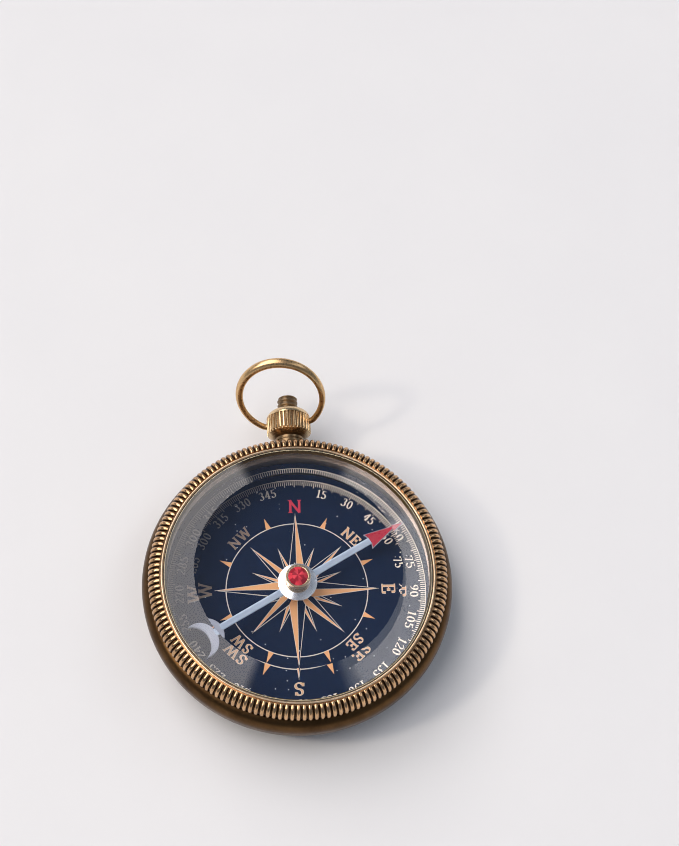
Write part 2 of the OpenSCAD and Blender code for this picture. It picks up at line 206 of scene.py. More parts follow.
# %% Room
glass_edge, glass_bevel = 1.15 * mm, 4.9 * mm
glass_low, glass_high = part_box("crystal")
bevel_slope = math.degrees(math.atan2(glass_high.z - glass_low.z - glass_edge, glass_bevel))
windows = [  # facing, clockwise from the crown; slope; radiance; colour
    ((-154, -24), (bevel_slope - 11, bevel_slope + 8), 3.4, (1.0, 0.95, 0.94)),
    ((62, 160), (bevel_slope - 3.5, bevel_slope + 4), 1.7, (0.90, 0.94, 1.0)),
]
soft_facing, soft_slope = 5, 1.5
wall_fades = (0.20, 0.06)
ceiling_colour, wall_colour = (0.14, 0.16, 0.20), (0.80, 0.80, 0.80)


def between(tree, value, limits, soft):
    """One inside the limits, in degrees, with edges that fade over a few degrees."""
    low, high, half = math.radians(limits[0]), math.radians(limits[1]), math.radians(soft) / 2
    risen = ramp(tree, value, low - half, low + half)
    return math_node(tree, "MULTIPLY", risen, ramp(tree, value, high + half, high - half))


def room():
    world = bpy.data.worlds.new("room")
    bpy.context.scene.world = world
    world.use_nodes = True
    tree = world.node_tree
    tree.nodes.clear()
    toward = node(tree, "TexCoord").outputs["Generated"]
    height = node(tree, "SeparateXYZ", {0: toward}).outputs[2]
    sight = tuple(view_place.normalized())
    halfway = node(tree, "VectorMath", {0: toward, 1: sight}, operation="ADD").outputs[0]
    normal = node(tree, "VectorMath", {0: halfway}, operation="NORMALIZE").outputs[0]
    tilt = node(tree, "SeparateXYZ", {0: normal}).outputs
    slope = math_node(tree, "ARCCOSINE", tilt[2])
    facing = math_node(tree, "ARCTAN2", tilt[0], tilt[1])
    colour = blend_colour(tree, ramp(tree, height, *wall_fades), ceiling_colour, wall_colour)
    strength = 1.0
    for facings, slopes, radiance, tint in windows:
        glow = math_node(tree, "MULTIPLY", between(tree, facing, facings, soft_facing),
                         between(tree, slope, slopes, soft_slope))
        colour = blend_colour(tree, glow, colour, tint)
        strength = math_node(tree, "ADD", math_node(tree, "MULTIPLY", glow, radiance - 1), strength)
    sky = node(tree, "Background", {"Color": colour, "Strength": strength})
    node(tree, "OutputWorld", {"Surface": sky.outputs[0]})


room()
bpy.context.scene.view_settings.view_transform = "Standard"
bpy.context.scene.cycles.filter_width = 1.0
print("bevel slope", round(bevel_slope, 1), "degrees, windows:", len(windows))

# %% [markdown]
# Old brass is not one colour. Its polish is bright where fingers rub it and brown where they don't, and the
# lathe has left fine rings. A painted image could hold all that, but it would need a layout of its own for
# each piece. The finish reads it from where a point lies instead: a slow noise mixes the bright and the
# brown, and a noise stretched all round the turning axis gives the rings.


# %% Brass
def turned_place(tree, place, centre, along):
    """Distance from the turning axis and height along it, so that a noise on them makes rings."""
    moved = node(tree, "VectorMath", {0: place, 1: centre}, operation="SUBTRACT").outputs[0]
    parts = node(tree, "SeparateXYZ", {0: moved}).outputs
    across = [i for i in range(3) if i != along]
    flat = node(tree, "CombineXYZ", {0: parts[across[0]], 1: parts[across[1]]}).outputs[0]
    radius = node(tree, "VectorMath", {0: flat}, operation="LENGTH").outputs["Value"]
    return radius, parts[along], parts


def brass(name, bright, brown, rough, patina, centre=(0, 0, 0), along=2, rings=0.4, grime_and_shade=None,
          relief_strength=0.35):
    material, tree, surface, place = new_finish(name)
    radius, height, parts = turned_place(tree, place, centre, along)
    ring_place = node(tree, "CombineXYZ", {0: radius, 1: height}).outputs[0]
    lathe = noise(tree, ring_place, 5200.0, 2.0)
    cloud = noise(tree, place, 190.0, 5.0, 0.62)
    pits = noise(tree, place, 2600.0, 3.0)
    aged_and_shaded = ramp(tree, cloud, 0.36, 0.68, 0.0, patina)
    # The hollows' mask adds dirt and painted shade to the brown.
    if grime_and_shade is not None:
        aged_and_shaded = math_node(tree, "MAXIMUM", aged_and_shaded, grime_and_shade(tree, radius, height, parts))
    set_inputs(tree, surface, Base_Color=blend_colour(tree, aged_and_shaded, bright, brown), Metallic=1.0,
               Roughness=ramp(tree, math_node(tree, "MAXIMUM", aged_and_shaded, pits), 0.2, 0.9, *rough))
    relief = math_node(tree, "ADD", math_node(tree, "MULTIPLY", lathe, rings), pits)
    bump = node(tree, "Bump", {"Height": relief, "Strength": relief_strength, "Distance": 0.02 * mm})
    set_inputs(tree, surface, Normal=bump.outputs[0])
    return material


print("brass ready")

# %% [markdown]
# Grime collects where a cloth doesn't reach: between the reeds, in the crown's flutes and round the collar
# below it, and in the cap's two grooves. Shade falls in the same hollows, so the darkening there is dirt and
# painted shade together. Blender's pointiness would find such hollows, but it depends on how fine the mesh is
# and doesn't export. The places are known, so each is told by its radius and height.


# %% Where dirt and painted shade collect
reed_count = 155
crest_wave, groove_wave = 0.30, -0.55
lip_edge, reed_foot = 22.95 * mm, 23.15 * mm


def between_reeds(tree, radius, height, parts):
    """One in the grooves between the reeds, where dirt and painted shade darken them; nought on their crests
    and on the smooth lip.
    """
    angle = math_node(tree, "ARCTAN2", parts[1], parts[0])
    wave = math_node(tree, "COSINE", math_node(tree, "MULTIPLY", angle, float(reed_count)))
    groove = ramp(tree, wave, crest_wave, groove_wave)
    return math_node(tree, "MULTIPLY", groove, ramp(tree, radius, lip_edge, reed_foot))


crown_axis = (0, 0, 7.3 * mm)
flute_crest, flute_floor = 3.68 * mm, 3.60 * mm
barrel_start, barrel_end = (27.75 * mm, 27.95 * mm), (30.88 * mm, 30.78 * mm)
collar_top, collar_low = 27.7 * mm, 27.1 * mm


def in_flutes(tree, radius, height, parts):
    """One in the crown's flutes, from its cone to the foot of its dome, and on the collar below them, for
    dirt and painted shade.
    """
    flute = ramp(tree, radius, flute_crest, flute_floor, 0.0, 0.85)
    begun = math_node(tree, "MULTIPLY", flute, ramp(tree, height, *barrel_start))
    grooves = math_node(tree, "MULTIPLY", begun, ramp(tree, height, *barrel_end))
    return math_node(tree, "MAXIMUM", grooves, ramp(tree, height, collar_top, collar_low, 0.0, 0.8))


cap_skin, cap_cut = 2.06 * mm, 2.00 * mm
cap_rim_foot = (9.75 * mm, 9.65 * mm)


def in_cap_grooves(tree, radius, height, parts):
    """One in the two grooves that are cut round the cap over the needle's pivot, for dirt and painted shade;
    nought on its rim.
    """
    cut = ramp(tree, radius, cap_skin, cap_cut, 0.0, 0.95)
    return math_node(tree, "MULTIPLY", cut, ramp(tree, height, *cap_rim_foot))


# The count is of the reeds, whose grooves hold dirt and painted shade.
print("grime between", reed_count, "reeds, in the flutes and in the cap's grooves")

# %% [markdown]
# Each brass piece has had its own life. The case is nearly brown, partly from age and partly as painted shade
# over its sides; the reeds and the crown are rubbed bright, the screwed stud was never polished, and the bow
# shines where a thumb holds it. One table keeps them side by side, so that they can be balanced against each
# other.

# %% Brass finishes
brasses = {  # bright colour, brown colour, roughness of both, share of brown
    # The case's near-brown is age and painted shade together.
    "case_body": brass("case_brass", (0.13, 0.070, 0.028), (0.050, 0.024, 0.010), (0.24, 0.46), 0.8),
    "bezel": brass("bezel_brass", (0.76, 0.47, 0.25), (0.055, 0.026, 0.011), (0.16, 0.34), 0.35,
                   grime_and_shade=between_reeds),
    "plain": brass("plain_brass", (0.74, 0.55, 0.30), (0.36, 0.23, 0.10), (0.15, 0.35), 0.4),
    "cap": brass("cap_brass", (0.82, 0.60, 0.40), (0.10, 0.055, 0.025), (0.16, 0.34), 0.3,
                 grime_and_shade=in_cap_grooves, relief_strength=0.05),
    "bead": brass("bead_brass", (0.92, 0.70, 0.48), (0.45, 0.28, 0.14), (0.24, 0.40), 0.5,
                  relief_strength=0.1),
    "crown": brass("crown_brass", (0.90, 0.66, 0.38), (0.08, 0.037, 0.015), (0.18, 0.34), 0.35, crown_axis, 1,
                   grime_and_shade=in_flutes, relief_strength=0.1),
    "stud": brass("stud_brass", (0.28, 0.20, 0.12), (0.07, 0.045, 0.028), (0.3, 0.5), 0.6, crown_axis, 1),
    "bow": brass("bow_brass", (0.76, 0.50, 0.25), (0.20, 0.105, 0.040), (0.22, 0.40), 0.4, rings=0,
                 relief_strength=0.05),
}
print("brass finishes:", sorted(brasses))

# %% [markdown]
# The dial is dark blue enamel with dust on it, printed in tan and cream. Enamel and ink are one recipe: an
# uneven colour, a fine grain, and a gloss that varies with it. The dust is a pattern of rare small cells.
# The print has gone dark towards the north-west, so the inks fade that way along one direction.


# %% Enamel and inks
tarnish_toward, tarnish_from, tarnish_to = (-0.90, 0.44, 0.0), 7 * mm, 17 * mm
tarnish_uneven, tarnish_colour = 6 * mm, (0.085, 0.085, 0.10)


def enamel(name, colour, deep, rough=0.35, dust=0.0, coat=0.0, gloss=0.5, worn=0.0):
    """A paint or ink. Dust lays pale specks on it; worn is how far its north-west has gone dark."""
    material, tree, surface, place = new_finish(name)
    cloud = noise(tree, place, 260.0, 4.0)
    grain = noise(tree, place, 3400.0, 3.0)
    shade = blend_colour(tree, cloud, colour, deep)
    if worn:
        toward = node(tree, "VectorMath", {0: place, 1: tarnish_toward}, operation="DOT_PRODUCT")
        uneven = math_node(tree, "MULTIPLY", cloud, tarnish_uneven)
        reach = math_node(tree, "ADD", toward.outputs["Value"], uneven)
        tarnish = ramp(tree, reach, tarnish_from, tarnish_to, 0.0, worn)
        shade = blend_colour(tree, tarnish, shade, tarnish_colour)
    if dust:
        cells = node(tree, "TexVoronoi", {"Vector": place, "Scale": 520.0}, voronoi_dimensions="2D")
        speck = ramp(tree, cells.outputs["Distance"], 0.055, 0.03)
        rare = ramp(tree, node(tree, "SeparateColor", {0: cells.outputs["Color"]}).outputs[0], 0.82, 0.84)
        fleck = math_node(tree, "MULTIPLY", math_node(tree, "MULTIPLY", speck, rare), dust)
        shade = blend_colour(tree, fleck, shade, (0.80, 0.84, 0.90))
    bump = node(tree, "Bump", {"Height": grain, "Strength": 0.25, "Distance": 0.015 * mm})
    uneven_gloss = ramp(tree, grain, 0.3, 0.7, rough - 0.06, rough + 0.1)
    set_inputs(tree, surface, Base_Color=shade, Roughness=uneven_gloss, Normal=bump.outputs[0],
               Coat_Weight=coat, Specular_IOR_Level=gloss)
    return material


inks = {
    "blue": enamel("dial_blue", (0.0008, 0.0090, 0.038), (0.0016, 0.0120, 0.047), 0.42, 1.0, gloss=0.1),
    "tan": enamel("tan_ink", (0.90, 0.48, 0.23), (0.80, 0.40, 0.18), 0.5, gloss=0.3),
    "worn_tan": enamel("worn_tan_ink", (0.80, 0.52, 0.32), (0.68, 0.41, 0.23), 0.5, gloss=0.3, worn=0.8),
    "cream": enamel("cream_ink", (0.80, 0.74, 0.70), (0.68, 0.62, 0.58), 0.5, gloss=0.3),
    "worn_cream": enamel("worn_cream_ink", (0.97, 0.90, 0.83), (0.86, 0.78, 0.70), 0.5, gloss=0.3, worn=0.94),
    "rose": enamel("rose_ink", (0.66, 0.045, 0.10), (0.56, 0.028, 0.07), 0.45, gloss=0.3),
    "red": enamel("red_enamel", (0.50, 0.021, 0.052), (0.38, 0.012, 0.032), 0.30, coat=0.3),
    "white": enamel("white_enamel", (0.42, 0.45, 0.56), (0.33, 0.37, 0.48), 0.40),
}
print("inks:", sorted(inks))

# %% [markdown]
# The needle is silvered, its hub is chromed, and the ring round the dial is satin. They need no more than
# two close colours in slow clouds. The red stone is cut glass. Its sparkle comes from light that wanders
# inside, which takes long to trace, so its facets are coloured bright and deep by turns.


# %% Bright metal and cut stone
def polished(name, colour, dull, rough=(0.05, 0.16), metallic=1.0):
    material, tree, surface, place = new_finish(name)
    cloud = ramp(tree, noise(tree, place, 420.0, 4.0), 0.35, 0.7)
    set_inputs(tree, surface, Base_Color=blend_colour(tree, cloud, colour, dull), Metallic=metallic,
               Roughness=ramp(tree, cloud, 0.0, 1.0, *rough))
    return material


def cut_glass(name, bright, deep, facets, step_r):
    """A stone whose facets are bright and deep by turns, as light from inside makes them."""
    material, tree, surface, place = new_finish(name)
    radius, height, parts = turned_place(tree, place, (0, 0, 0), 2)
    angle = math_node(tree, "ARCTAN2", parts[1], parts[0])
    outer = math_node(tree, "GREATER_THAN", radius, step_r)
    phase = math_node(tree, "ADD", math_node(tree, "MULTIPLY", angle, facets / 2),
                      math_node(tree, "MULTIPLY", outer, math.pi / 2))
    side = ramp(tree, math_node(tree, "SINE", phase), -0.15, 0.15)
    glint = ramp(tree, noise(tree, place, 900.0, 1.0), 0.35, 0.6, 0.35, 1.0)
    spark = math_node(tree, "MULTIPLY", side, glint)
    set_inputs(tree, surface, Base_Color=blend_colour(tree, spark, deep, bright), Roughness=0.12,
               Coat_Weight=0.6)
    return material


steel = polished("silvered_steel", (0.47, 0.56, 0.70), (0.40, 0.49, 0.64), (0.30, 0.34), 0.4)
chrome = polished("bright_chrome", (0.93, 0.94, 0.97), (0.84, 0.87, 0.93), (0.18, 0.22), 0.95)
hard_steel = polished("hard_steel", (0.56, 0.57, 0.60), (0.40, 0.41, 0.44))
satin_brass = polished("rehaut_brass", (0.44, 0.35, 0.29), (0.33, 0.26, 0.21), (0.30, 0.34))
red_stone = cut_glass("red_stone", (0.84, 0.045, 0.075), (0.30, 0.004, 0.016), 8, 1.0 * mm)
print("needle steel, chrome, pin steel, satin brass and red stone ready")

# %% [markdown]
# The crystal is thick polished glass. A clear gloss would be quicker to trace, but only glass that bends
# light shows the print a second time in its bevel. Its smears are seen where it mirrors a window, and
# nowhere else. The pad under the plate is felt, pressed so flat that a fine noise and a sheen do for its
# fibres. The gasket is dark on top, and the gilt on its inner face shows through the glass as a bright
# line. It could be two pieces, but one finish that knows the radius keeps the edge between them sharp.


# %% Glass, felt and gasket
def clear_glass():
    material, tree, surface, place = new_finish("clear_glass")
    smear = noise(tree, place, 95.0, 5.0, 0.65)
    set_inputs(tree, surface, Base_Color=(0.985, 0.995, 1.0, 1), Transmission_Weight=1.0, IOR=1.52,
               Roughness=ramp(tree, smear, 0.45, 0.75, 0.004, 0.012))
    return material


def felt():
    material, tree, surface, place = new_finish("pressed_felt")
    fibre = noise(tree, place, 2400.0, 6.0, 0.7)
    bump = node(tree, "Bump", {"Height": fibre, "Strength": 0.8, "Distance": 0.08 * mm})
    set_inputs(tree, surface, Base_Color=blend_colour(tree, fibre, (0.10, 0.03, 0.03), (0.24, 0.09, 0.07)),
               Roughness=0.95, Sheen_Weight=0.4, Normal=bump.outputs[0])
    return material


gilt_radii = (22.27 * mm, 22.24 * mm)
gold_heights = (12.50 * mm, 12.60 * mm)


def gasket():
    """Dark rubber on top; its inner face is a gilt foil that shows as a bright line through the glass."""
    material, tree, surface, place = new_finish("gilt_gasket")
    radius, height, parts = turned_place(tree, place, (0, 0, 0), 2)
    cloud = noise(tree, place, 700.0, 4.0)
    gilt = ramp(tree, radius, *gilt_radii)
    bronze = blend_colour(tree, cloud, (0.34, 0.22, 0.08), (0.22, 0.13, 0.05))
    gold = blend_colour(tree, ramp(tree, height, *gold_heights), bronze, (1.0, 0.86, 0.56))
    set_inputs(tree, surface, Base_Color=blend_colour(tree, gilt, (0.012, 0.011, 0.012), gold),
               Metallic=math_node(tree, "MULTIPLY", gilt, 0.6),
               Roughness=ramp(tree, gilt, 0.0, 1.0, 0.7, 0.4))
    return material


glass = clear_glass()
print("materials so far:", len(bpy.data.materials))

# %% [markdown]
# A solid that is right as it stands keeps its shape and gets its finish here. A table of names says it more
# plainly than a call for each. The glass casts no shadow, so the sun reaches the dial below it as by day;
# tracing that light through the bevel would take far more samples for nearly the same picture.


# %% Dress the solids
def dress(name, material):
    mesh = nodes[name].data
    mesh.materials.clear()
    mesh.materials.append(material)


solid_finish = {
    "case_body": brasses["case_body"], "bezel": brasses["bezel"], "rehaut": satin_brass,
    "dial_plate": brasses["plain"], "pivot_post": brasses["plain"], "pivot_nut": brasses["plain"],
    "pendant_collar": brasses["crown"], "crown": brasses["crown"], "dial_cushion": felt(),
    "dial_face": inks["blue"], "crystal_gasket": gasket(), "crystal": glass, "pivot_pin": hard_steel,
    "needle_hub": chrome, "pivot_jewel": red_stone,
}
for name, material in solid_finish.items():
    dress(name, material)
nodes["crystal"].visible_shadow = False
print("dressed:", len(solid_finish))

# %% [markdown]
# The print and the needle are thin solids over flat outlines. An image on the dial would blur close up, and
# curves and text objects would leave their faces to chance, so the faces are laid one by one. A bag of
# corners and faces collects as many as a piece needs, and becomes one mesh at the end. A prism stands over a
# closed outline, a ring lies between two circles, and a ribbon follows a pen stroke whose width changes on
# the way.


# %% Thin solids
def prism(bag, outline, low, high):
    corners, faces = bag
    turn = sum(a[0] * b[1] - b[0] * a[1] for a, b in zip(outline, outline[1:] + outline[:1]))
    outline = outline if turn > 0 else outline[::-1]
    first, count = len(corners), len(outline)
    corners += [(x, y, low) for x, y in outline] + [(x, y, high) for x, y in outline]
    faces.append([first + i for i in reversed(range(count))])
    faces.append([first + count + i for i in range(count)])
    for i in range(count):
        after = (i + 1) % count
        faces.append([first + i, first + after, first + count + after, first + count + i])


def ring(bag, inner, outer, low, high, steps=360):
    corners, faces = bag
    first = len(corners)
    for i in range(steps):
        angle = 2 * math.pi * i / steps
        for radius, height in ((inner, low), (outer, low), (outer, high), (inner, high)):
            corners.append((radius * math.cos(angle), radius * math.sin(angle), height))
    for i in range(steps):
        here, there = first + 4 * i, first + 4 * ((i + 1) % steps)
        for k in range(4):
            faces.append([here + k, here + (k + 1) % 4, there + (k + 1) % 4, there + k][::-1])


def ribbon(bag, points, widths, low, high):
    corners, faces = bag
    first, last = len(corners), len(points) - 1
    for i, (point, width) in enumerate(zip(points, widths)):
        run = Vector(points[min(i + 1, last)]) - Vector(points[max(i - 1, 0)])
        side = Vector((-run.y, run.x)).normalized() * width / 2
        for sign, height in ((1, low), (-1, low), (-1, high), (1, high)):
            corners.append((point[0] + sign * side.x, point[1] + sign * side.y, height))
    for i in range(last):
        here = first + 4 * i
        for k in range(4):
            faces.append([here + k, here + (k + 1) % 4, here + 4 + (k + 1) % 4, here + 4 + k][::-1])
    faces.append([first, first + 1, first + 2, first + 3])
    faces.append([first + 4 * last + k for k in (3, 2, 1, 0)])


def piece(name, bag, material, body, smooth=False):
    """One mesh from a bag, in millimetres until here, riding on its body."""
    corners, faces = bag
    mesh = bpy.data.meshes.new(name)
    mesh.from_pydata([Vector(c) * mm for c in corners], [], faces)
    mesh.materials.append(material)
    mesh.polygons.foreach_set("use_smooth", [smooth and len(face) == 4 for face in faces])
    made = bpy.data.objects.new(name, mesh)
    bpy.context.scene.collection.objects.link(made)
    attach(made, body)
    return made


print("thin solids ready")

# %% [markdown]
# A dial is laid out in polar terms: so far from the middle, so many degrees clockwise from the crown. This
# turns a point drawn in a ray's own frame, across and outward, into a place on the dial. The whole print
# sits a degree and a half off the crown, as it does on the real one.

# %% Places on the dial
dial_turn = 1.5
print_step, print_depth = 0.006, 0.035
dial_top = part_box("dial_face")[1].z / mm
dial_low = dial_top - print_depth


def on_dial(points, azimuth):
    angle = math.radians(azimuth)
    across, outward = Vector((math.cos(angle), -math.sin(angle))), Vector((math.sin(angle), math.cos(angle)))
    return [tuple(x * across + y * outward) for x, y in points]


print("print lies at", round(dial_top, 3), "mm")

# %% [markdown]
# The wind rose has sixteen rays in three sizes. Each is a long kite whose clockwise half is filled and
# whose other half is only outlined, a traditional way to show a raised ridge. Larger rays lie over smaller
# ones. The small ones could be cut off where they go under, but it is simpler to stack them, as a printer
# does: each kite first lays down a patch of blue that hides what is below it.

# %% Wind rose
rays = [  # reach, half width, first azimuth, spacing
    (8.1, 0.75, 22.5, 45.0),
    (10.9, 1.15, 45.0, 90.0),
    (13.9, 1.45, 0.0, 90.0),
]
waist_share, ridge_share = 0.2, 0.4
line_w, line_start, line_short = 0.14, 0.3, 0.5
edge_w, edge_short = 0.10, 0.4
circle_r, circle_w = 12.0, 0.16
spike_reach, spike_w, spike_lean = 14.1, 0.95, 0.06


def wind_rose():
    ground, tan, cream = ([], []), ([], []), ([], [])
    ring(cream, circle_r - circle_w / 2, circle_r + circle_w / 2, dial_low, dial_top + print_step)
    for k in range(8):
        spike = [(-spike_w / 2, circle_r), (spike_w / 2, circle_r), (spike_lean, spike_reach)]
        prism(tan, on_dial(spike, 22.5 + 45 * k + dial_turn), dial_low, dial_top + 1.5 * print_step)
    for level, (reach, half, first, spacing) in enumerate(rays):
        top = dial_top + (2 + 3 * level) * print_step
        waist = reach * waist_share
        for k in range(round(360 / spacing)):
            azimuth = first + spacing * k + dial_turn
            kite = [(0, 0), (half, waist), (0, reach), (-half, waist)]
            prism(ground, on_dial(kite, azimuth), dial_low, top)
            prism(tan, on_dial([(0, 0), (half, waist), (0, reach)], azimuth), dial_low, top + print_step)
            line_top = top + 2 * print_step
            hollow = [(-line_w / 2, line_start), (-half + line_w / 2, waist),
                      (-line_w / 4, reach - line_short)]
            ribbon(cream, on_dial(hollow, azimuth), [line_w] * 2 + [line_w / 2], dial_low, line_top)
            filled = [(half - edge_w / 2, waist), (edge_w / 3, reach - edge_short)]
            ribbon(cream, on_dial(filled, azimuth), [edge_w, edge_w / 2], dial_low, line_top)
            ridge = [(0, waist * ridge_share), (0, reach)]
            ribbon(cream, on_dial(ridge, azimuth), [edge_w, edge_w / 2], dial_low, line_top)
    return ground, tan, cream


rose_ground, rose_tan, rose_cream = wind_rose()
piece("rose_ground", rose_ground, inks["blue"], "case")
piece("rose_filled", rose_tan, inks["tan"], "case")
piece("rose_lines", rose_cream, inks["cream"], "case")
print("rose faces:", len(rose_ground[1]) + len(rose_tan[1]) + len(rose_cream[1]))

# %% [markdown]
# The degree scale is a fine circle with a tick for each degree, longer and bolder at every fifth. An array
# modifier could repeat one tick, but not vary it, so a loop draws them all.

# %% Degree scale
scale_r, scale_w = 20.1, 0.13
short_tick, long_tick = (0.9, 0.12), (1.25, 0.14)  # length, width


def degree_scale():
    bag = ([], [])
    ring(bag, scale_r - scale_w / 2, scale_r + scale_w / 2, dial_low, dial_top + print_step)
    for degree in range(360):
        length, width = long_tick if degree % 5 == 0 else short_tick
        inner = scale_r - length
        tick = [(-width / 2, inner), (width / 2, inner), (width / 2, scale_r), (-width / 2, scale_r)]
        prism(bag, on_dial(tick, degree + dial_turn), dial_low, dial_top + print_step / 2)
    return bag


scale_print = degree_scale()
piece("degree_scale", scale_print, inks["worn_cream"], "case")
print("scale faces:", len(scale_print[1]))

# %% [markdown]
# The letters and figures are written with a broad pen, as a dial painter would. A text object is the usual
# way, but it needs a font, and few have such short wide serifs. Here a glyph is a few strokes in a box one
# unit high. The pen is held at a slant, so an upright stroke comes out thick and a level one thin, which is
# what gives a serif face its contrast.


# %% Glyphs
def arc(cx, cy, rx, ry, start, end, steps=12):
    angles = [math.radians(start + (end - start) * i / steps) for i in range(steps + 1)]
    return [(cx + rx * math.cos(a), cy + ry * math.sin(a)) for a in angles]


def line(*points):
    return list(points)


glyphs = {  # width, then the strokes
    "0": (0.60, [arc(0.30, 0.50, 0.21, 0.45, 0, 360, 24)]),
    "1": (0.46, [line((0.09, 0.78), (0.26, 0.95)), line((0.25, 0.97), (0.25, 0.03)),
                 line((0.07, 0.04), (0.43, 0.04))]),
    "2": (0.58, [arc(0.28, 0.72, 0.19, 0.23, 165, -35) + [(0.10, 0.09)], line((0.06, 0.06), (0.52, 0.06)),
                 line((0.51, 0.05), (0.53, 0.20))]),
    "3": (0.56, [arc(0.26, 0.74, 0.17, 0.21, 155, -80), arc(0.26, 0.28, 0.21, 0.25, 85, -155)]),
    "4": (0.62, [line((0.42, 0.97), (0.42, 0.03)), line((0.40, 0.95), (0.07, 0.30)),
                 line((0.05, 0.29), (0.58, 0.29)), line((0.28, 0.04), (0.56, 0.04))]),
    "5": (0.56, [line((0.15, 0.92), (0.48, 0.92)), line((0.15, 0.94), (0.13, 0.54)),
                 arc(0.25, 0.31, 0.22, 0.27, 120, -155, 16)]),
    "6": (0.58, [arc(0.29, 0.29, 0.20, 0.25, 0, 360, 20), arc(0.50, 0.30, 0.41, 0.64, 100, 180)]),
    "7": (0.56, [line((0.07, 0.92), (0.51, 0.92)), line((0.50, 0.92), (0.22, 0.03)),
                 line((0.08, 0.94), (0.07, 0.76))]),
    "8": (0.58, [arc(0.29, 0.74, 0.16, 0.21, 0, 360, 20), arc(0.29, 0.28, 0.20, 0.25, 0, 360, 20)]),
    "9": (0.58, [arc(0.29, 0.71, 0.20, 0.25, 0, 360, 20), arc(0.08, 0.70, 0.41, 0.64, -80, 0)]),
    "N": (0.96, [line((0.17, 0.97), (0.17, 0.03)), line((0.12, 0.97), (0.80, 0.03)),
                 line((0.79, 0.97), (0.79, 0.03)), line((0.00, 0.96), (0.26, 0.96)),
                 line((0.03, 0.04), (0.31, 0.04)), line((0.65, 0.96), (0.93, 0.96))]),
    "E": (0.78, [line((0.21, 0.97), (0.21, 0.03)), line((0.05, 0.95), (0.68, 0.95)),
                 line((0.20, 0.51), (0.50, 0.51)), line((0.05, 0.05), (0.72, 0.05)),
                 line((0.66, 0.96), (0.68, 0.72)), line((0.50, 0.64), (0.50, 0.38)),
                 line((0.70, 0.03), (0.73, 0.30))]),
    "S": (0.66, [arc(0.32, 0.73, 0.20, 0.22, 30, 262, 16) + arc(0.33, 0.26, 0.23, 0.23, 78, -150, 16),
                 line((0.53, 0.96), (0.53, 0.72)), line((0.08, 0.28), (0.08, 0.03))]),
    "W": (1.30, [line((0.14, 0.96), (0.38, 0.03)), line((0.38, 0.03), (0.63, 0.96)),
                 line((0.63, 0.96), (0.89, 0.03)), line((0.89, 0.03), (1.14, 0.96)),
                 line((0.00, 0.96), (0.30, 0.96)), line((0.48, 0.96), (0.78, 0.96)),
                 line((1.00, 0.96), (1.28, 0.96))]),
}
print("glyphs:", "".join(glyphs))

# %% [markdown]
# Writing a word: the glyphs stand side by side, centred on their azimuth with their tops outward. Each
# stroke lies a hair higher than the one before it, so two never share a surface.

# %% Writing
pen_slant = math.radians(18)
glyph_gap = 0.10
stroke_lift = 0.0004


def write(bag, word, azimuth, radius, height, thick, thin, top, grow=0.0):
    width = sum(glyphs[g][0] for g in word) + glyph_gap * (len(word) - 1)
    across = -width / 2
    lift = 0.0
    for g in word:
        for stroke in glyphs[g][1]:
            points = [((x + across) * height, (y - 0.5) * height + radius) for x, y in stroke]
            widths = []
            for i in range(len(points)):
                run = Vector(points[min(i + 1, len(points) - 1)]) - Vector(points[max(i - 1, 0)])
                pen = abs(math.sin(math.atan2(run.y, run.x) - pen_slant))
                widths.append(max(thin, thick * pen) + grow)
            ribbon(bag, on_dial(points, azimuth + dial_turn), widths, dial_low, top + lift)
            lift += stroke_lift
        across += glyphs[g][0] + glyph_gap
    return bag


print("pen slant:", round(math.degrees(pen_slant)), "degrees")

# %% [markdown]
# The figures stand inside the scale, every fifteen degrees, and the compass points inside them. A letter is
# written twice, first a little fatter in cream and then in tan, which leaves the light edge that the
# printed letters have. An outline modifier would do the same, but the pen is already there. North is a
# plain red N.

# %% Figures and letters
numeral_r, numeral_h, numeral_pen = 18.05, 1.55, (0.26, 0.10)
single_place, pair_place = (15.5, 2.35), (13.45, 1.85)
thick_share, thin_share = 0.145, 0.055
letter_edge_w = 0.09
north_r, north_h, north_pen = 15.25, 2.45, (0.42, 0.15)
ink_top = dial_top + print_step

numerals = ([], [])
for azimuth in range(15, 360, 15):
    write(numerals, str(azimuth), azimuth, numeral_r, numeral_h, *numeral_pen, ink_top)

letters, letter_edges = ([], []), ([], [])
for word, azimuth in {"E": 90, "S": 180, "W": 270, "NE": 45, "SE": 135, "SW": 225, "NW": 315}.items():
    radius, height = single_place if len(word) == 1 else pair_place
    pen = (thick_share * height, thin_share * height)
    write(letter_edges, word, azimuth, radius, height, *pen, ink_top, letter_edge_w)
    write(letters, word, azimuth, radius, height, *pen, ink_top + 2 * print_step)

north_letter = write(([], []), "N", 0, north_r, north_h, *north_pen, ink_top)
for name, bag, ink in (("numerals", numerals, "worn_cream"), ("letter_edges", letter_edges, "worn_cream"),
                       ("letters", letters, "worn_tan"), ("north_letter", north_letter, "rose")):
    piece(name, bag, inks[ink], "case")
    print(name, "has", len(bag[1]), "faces")

# %% [markdown]
# The needle is stamped from thin steel and then ground along its edges, so that each edge catches the light
# as a bright line. A bevel modifier would cut every edge alike. A blade is lofted through stations instead:
# a flat top between two chamfers that narrow with it, as at the horns of the crescent.

# %% Ground blade
chamfer_share = 0.2


